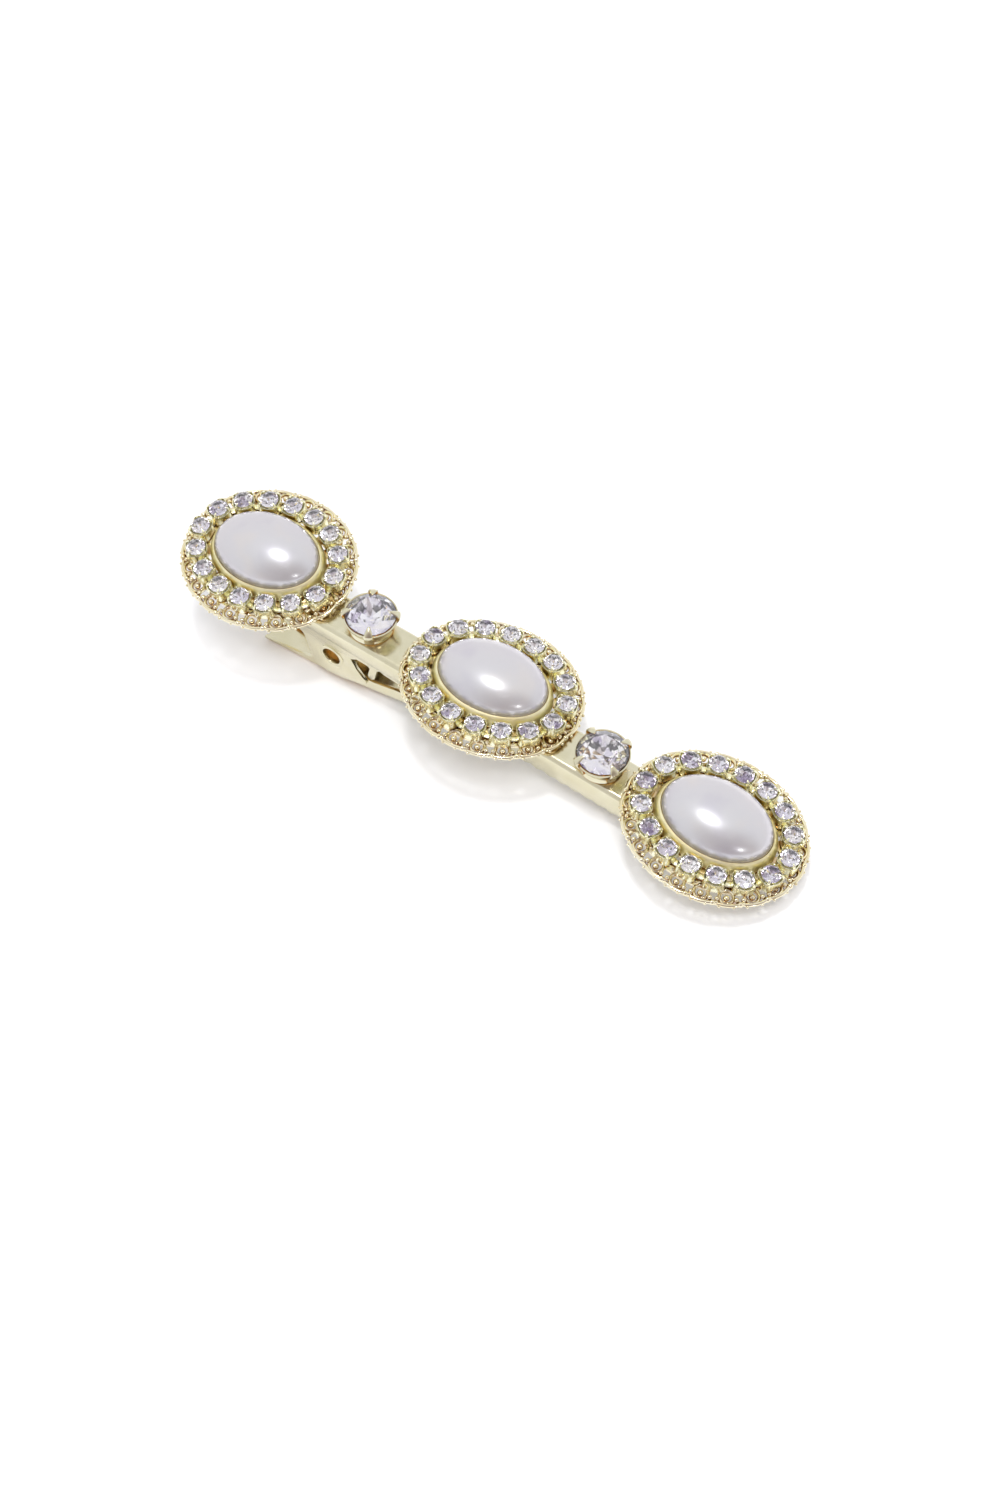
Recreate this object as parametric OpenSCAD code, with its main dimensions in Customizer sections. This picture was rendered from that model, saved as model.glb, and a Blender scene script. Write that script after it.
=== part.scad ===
// Jewelled alligator hair clip: a toothed spring clip whose flat upper arm carries three oval
// pearl ornaments and two claw-set stones. X runs from the finger tails to the jaw tip, Z is up,
// and the clip lies on the plane z = 0 on its lower arm.

/* [Arms] */
// Thickness of the sheet metal of both arms
sheet = 0.5; // [0.4:0.05:0.55]
// Width over the upper arm's side flanges
arm_w = 5.6; // [5.4:0.1:6]
// Free gap at each side between the upper arm's flanges and the lower arm
side_gap = 0.15; // [0.1:0.01:0.2]
// X of the upper arm's rear end
arm_rear = -36; // [-37:0.5:-34]
// X of the upper arm's front tip
arm_tip = 38.5; // [38:0.5:40]
// Sag of the upper arm's arched top at 10 mm from its middle
arch_sag = 0.047; // [0:0.001:0.06]
// Depth of the upper arm's side flanges
flange_d = 3.4; // [3:0.1:3.6]
// Distance from one tooth to the next along both jaws
tooth_pitch = 1.75; // [1.5:0.05:2]
// Depth of the upper flange's teeth
upper_tooth = 0.4; // [0.2:0.05:0.5]
// Depth of the lower jaw's teeth
lower_tooth = 0.55; // [0.3:0.05:0.6]

/* [Pose] */
// Slope of the upper arm in degrees, its tail end higher than its tip
arm_tilt = 6.6; // [6.4:0.05:6.8]
// Height of the middle of the upper arm's top above the table
arm_z = 8.63; // [8.6:0.01:8.8]
// Sideways place of the arms, which centres the whole clip on the origin
arm_y = -0.85; // [-1.2:0.05:0]

/* [Pivot] */
// X of the pivot along the upper arm
pivot_x = -20.7; // [-21.5:0.1:-20]
// Depth of the pivot below the upper arm's top
pivot_d = 5.65; // [5.4:0.05:5.9]
// Outer radius of the hollow pivot pin
pin_r = 1.65; // [1.5:0.05:1.7]
// Wall thickness of the hollow pivot pin
pin_wall = 0.4; // [0.3:0.05:0.5]
// Height that the pin's ends stand out of the ears
pin_proud = 0.12; // [0.05:0.01:0.2]
// Radial clearance of the pin in the lower arm
pin_clear = 0.05; // [0.02:0.01:0.09]
// Radius of the lower arm's ears about the pivot
ear_r = 3.2; // [3:0.1:3.4]

/* [Spring] */
// Wire radius of the torsion spring
wire_r = 0.32; // [0.25:0.01:0.33]
// Mean radius of the spring's coil
coil_r = 2.1; // [2.08:0.01:2.2]
// Whole turns of the coil besides the part turn between the legs
coil_turns = 3; // [2:1:3]
// Axial distance from turn to turn, in wire diameters
coil_pitch = 1.1; // [1.05:0.01:1.12]

/* [Ornaments] */
// Thickness of the filigree sheets
lace_t = 0.4; // [0.3:0.05:0.5]
// Long half axis of the solid oval of a filigree sheet
lace_a = 9.6; // [9.4:0.1:9.8]
// Short half axis of the solid oval of a filigree sheet
lace_b = 8.1; // [8:0.1:8.3]
// Open loops round a filigree sheet's rim
loop_count = 20; // [19:1:21]
// Outer radius of an open loop
loop_r = 1.3; // [1.2:0.05:1.35]
// Radius of the hole in an open loop
loop_hole = 0.9; // [0.7:0.05:0.95]
// Radius of the small balls between the loops
bead_r = 0.45; // [0.4:0.05:0.5]
// Long half axis of the ring of stones, to the stones' centres
ring_a = 9.45; // [9.4:0.05:9.6]
// Short half axis of the ring of stones, to the stones' centres
ring_b = 7.08; // [7:0.05:7.2]
// Stones in each ring
stone_count = 16; // [16:1:16]
// Radius of the small stones
stone_r = 1.2; // [1.1:0.05:1.25]
// Width across a stone's square cup
cup_w = 2.65; // [2.6:0.05:2.8]
// Height of the stone cups
cup_h = 1.8; // [1.7:0.05:2]
// Long half axis of the pearls
pearl_a = 7; // [6.8:0.05:7.05]
// Short half axis of the pearls
pearl_b = 5; // [4.8:0.05:5.05]
// Height of a pearl's dome above its straight foot
pearl_dome = 3.2; // [3:0.1:4]

/* [Large stones] */
// Radius of the two large stones
chaton_r = 3.1; // [3:0.05:3.2]
// Height of the large stones' girdle above the arm
chaton_z = 2.5; // [2.4:0.05:2.7]
// Width of a claw
claw_w = 1.3; // [1:0.1:1.5]

/* [Hidden] */

GOLD = "#d8cf9a";
CUP_GOLD = "#cfc373";
OCHRE = "#b39a6a";
PEARL = "#e4e0dc";
GLASS = "#e6e4f0";
STEEL = "#b9a66c";

eps = 0.01;
far = 20; // longer than any cut needs to be

// ---- ornament places, each [x, y, height of its solder, roll, pitch, yaw, stone phase in pitches]
REAR = [-32.9, 1.25, 0.55, 5.6, -3.9, 3.5, 0.2];
MIDDLE = [0.4, 1.15, 0.3, -5.4, 0.4, 4, 0.48];
FRONT = [32.3, 0.3, 0.45, -2.9, 4.4, 2.1, 0.12];
// ---- large stones, each [x, y along the arm, turn of the claws]
CHATON_REAR = [-16.9, 0.5, 31];
CHATON_FRONT = [16.8, 0.15, -32];

// ---- arms
lower_w = arm_w - 2 * sheet - 2 * side_gap;
tooth_rows = 26;
arch = arch_sag / 100;
tip_d = 2.4; // depth of the upper flange at the tip, ahead of its teeth
tail_end = -33; // X of the lower arm's ends
jaw_tip = 38;
jaw_lip = 2.2; // height of the lower flange at the tip
first_tooth = 0.8; // from the jaw tip back to its first tooth
function arm_top(x) = -arch * x * x;
function to_table(p) = [
  cos(arm_tilt) * p[0] + sin(arm_tilt) * p[1],
  -sin(arm_tilt) * p[0] + cos(arm_tilt) * p[1] + arm_z
];
pivot = to_table([pivot_x, -pivot_d]);
TOP_STEPS = 16;
TOP_EDGE = [
  for (i = [0:TOP_STEPS])
    let (x = arm_rear + (arm_tip - arm_rear) * i / TOP_STEPS) [x, arm_top(x)]
];
// the flange's lower edge, from the tip back along its teeth
TEETH_EDGE = [
  for (i = [0:2 * tooth_rows])
    let (x = arm_tip - tooth_pitch * (1 + i / 2))
      [x, arm_top(x) - flange_d - (i % 2 == 1 ? upper_tooth : 0)]
];
// the window behind the teeth with its one long tooth, the ear and the tail flange
WINDOW_EDGE = [
  [-11.1, -3.2], [-12.7, -3.1], [-13.3, -2.8], [-13.8, -3.2], [-14.2, -5.3], [-14.6, -5.7], [-15.1, -5.6],
  [-15.2, -5.1], [-14.9, -3.5], [-15.2, -3.2], [-16.8, -3.2]
];
EAR_EDGE = [
  [-17.8, -3.9], [-17, -5.4], [-16.2, -6.4], [-15.6, -6.9], [-15.5, -7.4], [-16, -8], [-19, -9.1],
  [-21.5, -9.6], [-22.8, -9.4], [-23.6, -8.7], [-24.8, -4.4], [-25.6, -3.5]
];
TAIL_EDGE = [[-29, -3.3], [-33, -2.8], [arm_rear + 0.5, -2.1], [arm_rear, -1.6]];

// ---- lower arm, on the table: underside, then the top of its flanges from the tip back
LOWER_UNDER = [
  [tail_end, 0], [-23, 0], [-17.5, 0.6], [-12, 1.45], [0, 2.75],
  [11.5, 3.35], [19, 2.85], [28, 1.5], [jaw_tip, 0]
];
FLOOR_TOP = [for (p = LOWER_UNDER) [p[0], p[1] + sheet]];
JAW_TOP = [[jaw_tip, 2.8], [25, 4.7], [11.5, 5.9], [0, 5.3], [-9, 4.35]];
JAW_LINE = [for (i = [len(JAW_TOP) - 1:-1:0]) JAW_TOP[i]];
LOWER_TEETH = [
  for (i = [0:2 * tooth_rows])
    let (x = jaw_tip - first_tooth - i * tooth_pitch / 2)
      [x, lookup(x, JAW_LINE) - (i % 2 == 0 ? lower_tooth : 0)]
];
LOWER_BACK = [
  [-12, 3.8], [-13.8, 3.4], [-15.75, 3], [-17.5, 3.2],
  [-23.6, 3.2], [-25.8, 1.55], [-28, 1.2], [tail_end, 0.9]
];

// ---- spring
rest_gap = 0.03; // from the ends of the legs to the arms
leg_drop = 0.1; // more room over the upper leg, for the arm's slope
leg_end_x = -31;
coil_reach = coil_pitch * wire_r * 2; // advance of the wire in one turn
UPPER_LEG = [leg_end_x, to_table([leg_end_x, arm_top(leg_end_x) - sheet])[1] - leg_drop - wire_r - rest_gap];
LOWER_LEG = [leg_end_x, sheet + wire_r + rest_gap];
function heading(p) = atan2(p[1] - pivot[1], p[0] - pivot[0]);
function tangent_turn(p) = acos(coil_r / norm(p - pivot));
upper_turn = heading(UPPER_LEG) - tangent_turn(UPPER_LEG);
lower_turn = heading(LOWER_LEG) + tangent_turn(LOWER_LEG);
coil_sweep = upper_turn - lower_turn + 360 * coil_turns;
coil_len = coil_reach * coil_sweep / 360;
COIL_STEPS = 44;
function coil_point(s) =
  let (a = upper_turn - coil_sweep * s)
    [pivot[0] + coil_r * cos(a), arm_y + coil_len * (s - 0.5), pivot[1] + coil_r * sin(a)];
function leg_point(end, y, f, turn) =
  let (foot = [pivot[0] + coil_r * cos(turn), pivot[1] + coil_r * sin(turn)], p = end + (foot - end) * f)
    [p[0], y, p[1]];
SPRING_PATH = concat(
  [for (f = [0, 0.5]) leg_point(UPPER_LEG, arm_y - coil_len / 2, f, upper_turn)],
  [for (i = [0:COIL_STEPS]) coil_point(i / COIL_STEPS)],
  [for (f = [0.5, 0]) leg_point(LOWER_LEG, arm_y + coil_len / 2, f, lower_turn)]
);
WIRE_SIDES = 8;

// ---- ornaments: heights above the underside of the filigree sheet
cup_z = lace_t;
girdle_z = cup_z + cup_h;
tray_t = 0.5;
tray_wall = 0.6;
tray_h = 1.75;
pearl_foot = lace_t + tray_t;
pearl_rim = lace_t + tray_h;
pearl_gap = 0.03;
rim_out = 0.65; // from the solid oval out to the middle of the open loops
bead_out = 0.9; // and from there to the small balls
eyelet_count = 12;
eyelet_in = 0.9; // from the pearl's edge in to the eyelets
cup_corner = 0.58; // half diagonal of a cup, as a share of its width
link_l = 1;
link_w = 0.9;
link_t = 0.35;
prong_w = 0.42;
prong_t = 0.25;
prong_h = 0.35;
prong_root = 0.4;
crown_h = 0.42;
girdle_h = 0.12;
pavilion_h = 0.85;
stone_table = 0.62; // radius of a stone's table as a share of its own
culet_r = 0.15;
seat_gap = 0.02;
OVAL_STEPS = 72;
PEARL_SIDES = 48;
DOME_RINGS = 12;
eyelet_r = 0.75;
pad_r = 2.3;

// ---- large stones
cup_wall = 0.35;
claw_t = 0.2; // how far a claw stands out of the setting
claw_in = 0.2; // and how far it reaches in from the stone's edge
claw_foot = 0.4;
claw_h = 0.45;
chaton_crown = 1.1;
chaton_pavilion = 1.75;
chaton_table = 0.58;
chaton_culet = 0.3;

function oval(a, b, t) = [a * cos(t), b * sin(t)];
// running length of an oval against its parameter, for spacing pieces evenly round it
function oval_lengths(a, b) = [
  for (i = 0, s = 0; i <= OVAL_STEPS; s = s + norm(oval(a, b, 360 * (i + 1) / OVAL_STEPS)
    - oval(a, b, 360 * i / OVAL_STEPS)), i = i + 1) [s, 360 * i / OVAL_STEPS]
];
// parameters of count evenly spaced places, the first one phase pitches from +X
function even_turns(a, b, count, phase) =
  let (table = oval_lengths(a, b), total = table[OVAL_STEPS][0])
    [for (i = [0:count - 1]) lookup((i + phase) * total / count, table)];
function oval_heading(a, b, t) = atan2(b * cos(t), -a * sin(t));

// faces that join a row of rings, each with the same number of points, into a closed skin
function ring_faces(rings, sides) = concat(
  [
    for (i = [0:rings - 2], k = [0:sides - 1])
      let (p = i * sides + k, q = i * sides + (k + 1) % sides)
        each [[p, q, q + sides], [p, q + sides, p + sides]]
  ],
  [[for (k = [sides - 1:-1:0]) k], [for (k = [0:sides - 1]) (rings - 1) * sides + k]]
);

module on_arm() {
  translate([0, arm_y, arm_z]) rotate([0, arm_tilt, 0]) children();
}

module on_table() {
  translate([0, arm_y, 0]) children();
}

// an outline in X and Z, as wide as w across Y
module side_shape(points, w) {
  rotate([90, 0, 0]) linear_extrude(height = w, center = true) polygon(points);
}

module across(r, w) {
  rotate([90, 0, 0]) cylinder(r = r, h = w, center = true, $fn = 48);
}

module oval_plate(a, b, h) {
  linear_extrude(height = h) polygon([for (i = [0:OVAL_STEPS - 1]) oval(a, b, 360 * i / OVAL_STEPS)]);
}

// puts children at evenly spaced places round an oval, their X along its rim
module round_oval(a, b, count, phase) {
  for (t = even_turns(a, b, count, phase))
    translate(concat(oval(a, b, t), 0)) rotate([0, 0, oval_heading(a, b, t)]) children();
}

module place_ornament(spot) {
  on_arm()
    translate([spot[0], spot[1], arm_top(spot[0]) + spot[2]])
      rotate([spot[3], spot[4], spot[5]])
        children();
}

module place_chaton(spot) {
  on_arm()
    translate([spot[0], spot[1], arm_top(spot[0] > 0 ? spot[0] - chaton_r : spot[0] + chaton_r)])
      rotate([0, 0, spot[2]])
        children();
}

// the upper arm's outer envelope
module upper_envelope() {
  side_shape(concat(
    TOP_EDGE, [[arm_tip, arm_top(arm_tip) - tip_d]], TEETH_EDGE, WINDOW_EDGE, EAR_EDGE, TAIL_EDGE
  ), arm_w);
}

module upper_arm() {
  color(GOLD) on_arm() difference() {
    upper_envelope();
    side_shape(concat(
      [for (p = TOP_EDGE) [p[0] + (p[0] > 0 ? eps : -eps), p[1] - sheet]],
      [[arm_tip + eps, -far], [arm_rear - eps, -far]]
    ), arm_w - 2 * sheet);
    translate([pivot_x, 0, -pivot_d]) across(pin_r, arm_w + 1);
  }
}

module lower_arm() {
  color(GOLD) on_table() difference() {
    union() {
      side_shape(concat(
        LOWER_UNDER, [[jaw_tip, jaw_lip]], LOWER_TEETH, LOWER_BACK
      ), lower_w);
      translate([pivot[0], 0, pivot[1]]) across(ear_r, lower_w);
    }
    side_shape(concat(
      [[tail_end - eps, sheet]], FLOOR_TOP,
      [[jaw_tip + eps, sheet], [jaw_tip + eps, far], [tail_end - eps, far]]
    ), lower_w - 2 * sheet);
    translate([pivot[0], 0, pivot[1]]) across(pin_r + pin_clear, lower_w + 1);
  }
}

module pivot_pin() {
  color(STEEL) on_arm() translate([pivot_x, 0, -pivot_d]) difference() {
    across(pin_r, arm_w + 2 * pin_proud);
    across(pin_r - pin_wall, arm_w + 1);
  }
}

// a round wire along a path that lies mostly in the XZ plane
module wire(path, r) {
  n = len(path);
  function along(i) = path[min(i + 1, n - 1)] - path[max(i - 1, 0)];
  function side(i) = let (v = cross(along(i), [0, 1, 0])) v / norm(v);
  function up(i) = let (v = cross(side(i), along(i))) v / norm(v);
  points = [
    for (i = [0:n - 1], k = [0:WIRE_SIDES - 1])
      let (a = 360 * k / WIRE_SIDES) path[i] + r * (cos(a) * side(i) + sin(a) * up(i))
  ];
  polyhedron(points, ring_faces(n, WIRE_SIDES));
}

module torsion_spring() {
  color(STEEL) wire(SPRING_PATH, wire_r);
}

// a small ball, turned with a flat top and foot
module bead() {
  flat_r = 0.6 * bead_r;
  translate([0, 0, lace_t / 2]) rotate_extrude($fn = 24) polygon([
    [0, -0.8 * bead_r], [flat_r, -0.8 * bead_r], [bead_r, -bead_r / 3], [bead_r, bead_r / 3],
    [flat_r, 0.8 * bead_r], [0, 0.8 * bead_r]
  ]);
}

module filigree_base(spot) {
  rim_a = lace_a + rim_out;
  rim_b = lace_b + rim_out;
  color(GOLD) place_ornament(spot) difference() {
    union() {
      oval_plate(lace_a, lace_b, lace_t);
      round_oval(rim_a, rim_b, loop_count, 0) cylinder(r = loop_r, h = lace_t, $fn = 24);
      round_oval(rim_a + bead_out, rim_b + bead_out, loop_count, 0.5) bead();
    }
    round_oval(rim_a, rim_b, loop_count, 0)
      translate([0, 0, -1]) cylinder(r = loop_hole, h = 2, $fn = 24);
    round_oval(pearl_a - eyelet_in, pearl_b - eyelet_in, eyelet_count, 0)
      translate([0, 0, -1]) cylinder(r = eyelet_r, h = 2, $fn = 24);
  }
}

module solder_pad(spot) {
  color(OCHRE) difference() {
    place_ornament(spot) translate([0, -spot[1], -1]) cylinder(r = pad_r, h = 1, $fn = 48);
    on_arm() upper_envelope();
  }
}

module pearl_tray(spot) {
  color(OCHRE) place_ornament(spot) translate([0, 0, lace_t]) difference() {
    oval_plate(pearl_a + tray_wall, pearl_b + tray_wall, tray_h);
    translate([0, 0, tray_t]) oval_plate(pearl_a + pearl_gap, pearl_b + pearl_gap, tray_h);
  }
}

module pearl(spot) {
  // each ring is [share of the half axes, height]: the straight foot, then the dome
  rings = concat(
    [[1, pearl_foot]],
    [for (i = [0:DOME_RINGS - 1]) let (a = 90 * i / DOME_RINGS) [cos(a), pearl_rim + pearl_dome * sin(a)]]
  );
  points = [
    for (ring = rings, k = [0:PEARL_SIDES - 1])
      concat(ring[0] * oval(pearl_a, pearl_b, -360 * k / PEARL_SIDES), ring[1])
  ];
  color(PEARL) place_ornament(spot) polyhedron(points, ring_faces(len(rings), PEARL_SIDES));
}

// outline of a round stone from its culet to its table, as a turned solid
module gem(r, table, crown, girdle, pavilion, culet) {
  top = girdle + crown;
  rotate_extrude($fn = 24)
    polygon([[0, -pavilion], [culet, -pavilion], [r, 0], [r, girdle], [table, top], [0, top]]);
}

module cup_chain(spot) {
  color(CUP_GOLD) place_ornament(spot) translate([0, 0, cup_z]) {
    difference() {
      union() {
        round_oval(ring_a, ring_b, stone_count, spot[6]) intersection() {
          translate([-cup_w / 2, -cup_w / 2, 0]) cube([cup_w, cup_w, cup_h]);
          cylinder(r = cup_corner * cup_w, h = cup_h, $fn = 32);
        }
        round_oval(ring_a, ring_b, stone_count, spot[6] + 0.5)
          translate([-link_l / 2, -link_w / 2, 0]) cube([link_l, link_w, link_t]);
      }
      round_oval(ring_a, ring_b, stone_count, spot[6])
        translate([0, 0, cup_h - pavilion_h]) cylinder(r = stone_r + seat_gap, h = far, $fn = 24);
    }
    round_oval(ring_a, ring_b, stone_count, spot[6])
      for (turn = [45:90:315])
        rotate([0, 0, turn]) translate([stone_r + seat_gap, -prong_w / 2, cup_h - prong_root])
          cube([prong_t, prong_w, prong_root + prong_h]);
  }
}

module chain_stones(spot) {
  color(GLASS) place_ornament(spot) round_oval(ring_a, ring_b, stone_count, spot[6])
    translate([0, 0, girdle_z]) gem(stone_r, stone_table * stone_r, crown_h, girdle_h, pavilion_h, culet_r);
}

module claw_setting(spot) {
  color(GOLD) place_chaton(spot) {
    difference() {
      union() {
        cylinder(r = chaton_r + cup_wall, h = chaton_z, $fn = 48);
        for (turn = [0:90:270])
          rotate([0, 0, turn]) translate([chaton_r - claw_in, -claw_w / 2, claw_foot])
            cube([claw_in + cup_wall + claw_t, claw_w, chaton_z - claw_foot + claw_h]);
      }
      translate([0, 0, chaton_z - chaton_pavilion]) cylinder(r = chaton_r + seat_gap, h = far, $fn = 48);
    }
  }
}

module chaton(spot) {
  color(GLASS) place_chaton(spot) translate([0, 0, chaton_z])
    gem(chaton_r, chaton_table * chaton_r, chaton_crown, girdle_h, chaton_pavilion, chaton_culet);
}

upper_arm();
lower_arm();
pivot_pin();
torsion_spring();
filigree_base(REAR);  // filigree_base_rear
filigree_base(MIDDLE);  // filigree_base_middle
filigree_base(FRONT);  // filigree_base_front
solder_pad(REAR);  // solder_pad_rear
solder_pad(MIDDLE);  // solder_pad_middle
solder_pad(FRONT);  // solder_pad_front
pearl_tray(REAR);  // pearl_tray_rear
pearl_tray(MIDDLE);  // pearl_tray_middle
pearl_tray(FRONT);  // pearl_tray_front
pearl(REAR);  // pearl_rear
pearl(MIDDLE);  // pearl_middle
pearl(FRONT);  // pearl_front
cup_chain(REAR);  // cup_chain_rear
cup_chain(MIDDLE);  // cup_chain_middle
cup_chain(FRONT);  // cup_chain_front
chain_stones(REAR);  // chain_stones_rear
chain_stones(MIDDLE);  // chain_stones_middle
chain_stones(FRONT);  // chain_stones_front
claw_setting(CHATON_REAR);  // claw_setting_rear
claw_setting(CHATON_FRONT);  // claw_setting_front
chaton(CHATON_REAR);  // chaton_rear
chaton(CHATON_FRONT);  // chaton_front
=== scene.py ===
import math

import bmesh
import bpy
import numpy as np
from mathutils import Matrix, Vector


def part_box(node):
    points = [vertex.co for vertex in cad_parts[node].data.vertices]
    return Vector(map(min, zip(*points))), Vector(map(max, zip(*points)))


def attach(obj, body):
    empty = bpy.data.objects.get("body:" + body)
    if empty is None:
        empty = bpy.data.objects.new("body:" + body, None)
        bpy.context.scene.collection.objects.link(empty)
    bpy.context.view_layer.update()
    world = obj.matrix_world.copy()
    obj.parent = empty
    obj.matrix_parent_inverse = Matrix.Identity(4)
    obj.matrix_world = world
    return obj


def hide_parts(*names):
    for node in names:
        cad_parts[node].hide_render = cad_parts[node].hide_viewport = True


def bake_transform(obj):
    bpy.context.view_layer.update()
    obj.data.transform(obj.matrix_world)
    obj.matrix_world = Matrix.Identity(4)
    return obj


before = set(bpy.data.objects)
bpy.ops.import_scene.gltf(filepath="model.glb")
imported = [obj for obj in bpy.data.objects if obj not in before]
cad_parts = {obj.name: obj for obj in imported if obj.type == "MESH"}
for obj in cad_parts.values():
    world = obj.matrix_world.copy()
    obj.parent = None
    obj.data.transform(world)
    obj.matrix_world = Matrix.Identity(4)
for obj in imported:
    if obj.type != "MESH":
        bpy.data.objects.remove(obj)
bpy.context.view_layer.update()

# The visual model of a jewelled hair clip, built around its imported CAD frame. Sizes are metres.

MM = 0.001
ORNAMENTS = ("rear", "middle", "front")
LARGE_STONES = ("rear", "front")
UPPER, LOWER = "upper_body", "lower_body"
Z_AXIS = Vector((0, 0, 1))
CLOSE = 0.01 * MM  # points nearer than this count as one level


# ---------------------------------------------------------------- reading the frame


def cad_bmesh(node):
    """The node's CAD mesh, with the vertices joined that lie on each other."""
    bm = bmesh.new()
    bm.from_mesh(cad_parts[node].data)
    bmesh.ops.remove_doubles(bm, verts=bm.verts, dist=0.0005 * MM)
    return bm


def cad_points(node):
    """The node's vertices, one row each."""
    return np.array([v.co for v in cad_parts[node].data.vertices], float)


def flat_frame(node):
    """The node's own frame: Z off its widest flat face, X along its longest side, zero at its foot."""
    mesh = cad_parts[node].data
    by_direction = {}
    for face in mesh.polygons:
        key = tuple(round(x, 2) for x in face.normal)
        total = by_direction.setdefault(key, [0.0, Vector()])
        total[0] += face.area
        total[1] += face.normal * face.area
    _, normal = max(by_direction.values(), key=lambda total: total[0] * (total[1].z > 0))
    up = normal.normalized()
    points = np.unique(cad_points(node).round(7), axis=0)
    centre = Vector((points.min(0) + points.max(0)) / 2)
    flat = points - points.mean(0)
    flat -= np.outer(flat @ up, up)
    along = Vector(np.linalg.eigh(flat.T @ flat)[1][:, -1])
    along = (along - along.dot(up) * up).normalized() * (1 if along.x > 0 else -1)
    matrix = frame_matrix(centre, along, up)
    low, high = local_box(node, matrix)
    middle = (low + high) / 2
    return frame_matrix(matrix @ Vector((middle.x, middle.y, low.z)), along, up)


def frame_matrix(origin, along, up):
    """The matrix of a frame at origin with X along and Z up."""
    side = up.cross(along)
    return Matrix.Translation(origin) @ Matrix((along, side, up)).transposed().to_4x4()


def local_points(node, matrix):
    """The node's vertices in the frame of a matrix, one row each."""
    inverse = np.array(matrix.inverted())
    return cad_points(node) @ inverse[:3, :3].T + inverse[:3, 3]


def local_box(node, matrix):
    """Low and high corner of the node's box in the frame of a matrix."""
    points = local_points(node, matrix)
    return Vector(points.min(0)), Vector(points.max(0))


def islands(node, matrix):
    """Points of each separate solid of a node, in the frame of a matrix, sorted round its Z."""
    bm = cad_bmesh(node)
    inverse, left, found = matrix.inverted(), set(bm.verts), []
    while left:
        group, to_visit = [], [left.pop()]
        while to_visit:
            vertex = to_visit.pop()
            group.append(inverse @ vertex.co)
            for edge in vertex.link_edges:
                other = edge.other_vert(vertex)
                if other in left:
                    left.remove(other)
                    to_visit.append(other)
        found.append(np.array(group))
    bm.free()
    return sorted(found, key=lambda points: math.atan2(*points.mean(0)[1::-1]))


def gem_sizes(points):
    """Centre on the girdle's foot, and the sizes of a turned stone, from its points."""
    centre = (points.min(0) + points.max(0)) / 2
    reach = np.hypot(*(points - centre).T[:2])
    girdle = points[reach > reach.max() * 0.999][:, 2]
    top, bottom = points[:, 2].max(), points[:, 2].min()
    return Vector((centre[0], centre[1], girdle.min())), {
        "radius": reach.max(),
        "girdle": np.ptp(girdle),
        "crown": top - girdle.max(),
        "table": reach[points[:, 2] > top - CLOSE].max(),
        "pavilion": girdle.min() - bottom,
    }


# ---------------------------------------------------------------- ovals


def on_oval(a, b, turn, z=0.0):
    """The point of the oval with half lengths a and b at an angle."""
    return Vector((a * math.cos(turn), b * math.sin(turn), z))


def even_turns(a, b, count, phase=0.0):
    """Angles of count evenly spaced places round an oval, the first one phase steps on from +X."""
    fine = np.linspace(0, 2 * math.pi, 721)
    steps = np.hypot(np.diff(a * np.cos(fine)), np.diff(b * np.sin(fine)))
    length = np.concatenate([[0], np.cumsum(steps)])
    wanted = (np.arange(count) + phase) * length[-1] / count
    return np.interp(wanted, length, fine)


def rim_frame(a, b, turn, z=0.0):
    """A frame on an oval: X runs along its rim, Y points outward, Z is up."""
    along = Vector((a * math.sin(turn), -b * math.cos(turn), 0)).normalized()
    return frame_matrix(on_oval(a, b, turn, z), along, Z_AXIS)


# ---------------------------------------------------------------- mesh building


def ring(bm, points):
    """New vertices at the points."""
    return [bm.verts.new(p) for p in points]


def bridge(bm, first, second, material=0):
    """Faces between two closed rings of as many vertices."""
    count = len(first)
    for k in range(count):
        face = bm.faces.new((first[k], first[(k + 1) % count], second[(k + 1) % count], second[k]))
        face.material_index = material


def cap(bm, loop, flip=False):
    """A fan of faces that closes a ring of vertices."""
    middle = bm.verts.new(sum((v.co for v in loop), Vector()) / len(loop))
    for k in range(len(loop)):
        pair = (loop[k], loop[(k + 1) % len(loop)])
        bm.faces.new((middle, *(reversed(pair) if flip else pair)))


def loft(bm, rings, closed=False):
    """Skins a row of rings of points. An open row gets a cap at each end, a closed one joins up."""
    made = [ring(bm, points) for points in rings]
    for first, second in zip(made, made[1:]):
        bridge(bm, first, second)
    if closed:
        bridge(bm, made[-1], made[0])
    else:
        cap(bm, made[0], flip=True)
        cap(bm, made[-1])


def tube(bm, path, half_width, half_depth, across, closed=False, sides=8):
    """A wire along a path, with round ends if it is open. Its section is half_width along the fixed
    direction across, and half_depth square to it in the path's own plane; both may be one number or
    one for each point."""
    count = len(path)
    widths = np.broadcast_to(half_width, count)
    depths = np.broadcast_to(half_depth, count)
    rings = []
    for i, point in enumerate(path):
        ahead = path[(i + 1) % count] if closed else path[min(i + 1, count - 1)]
        back = path[i - 1] if closed else path[max(i - 1, 0)]
        side = (ahead - back).cross(across).normalized()
        rings.append([
            point + across * (widths[i] * math.cos(a)) + side * (depths[i] * math.sin(a))
            for a in (2 * math.pi * k / sides for k in range(sides))
        ])
    if not closed:
        rings = dome_end(rings[1], rings[0])[::-1] + rings + dome_end(rings[-2], rings[-1])
    loft(bm, rings, closed)


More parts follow.
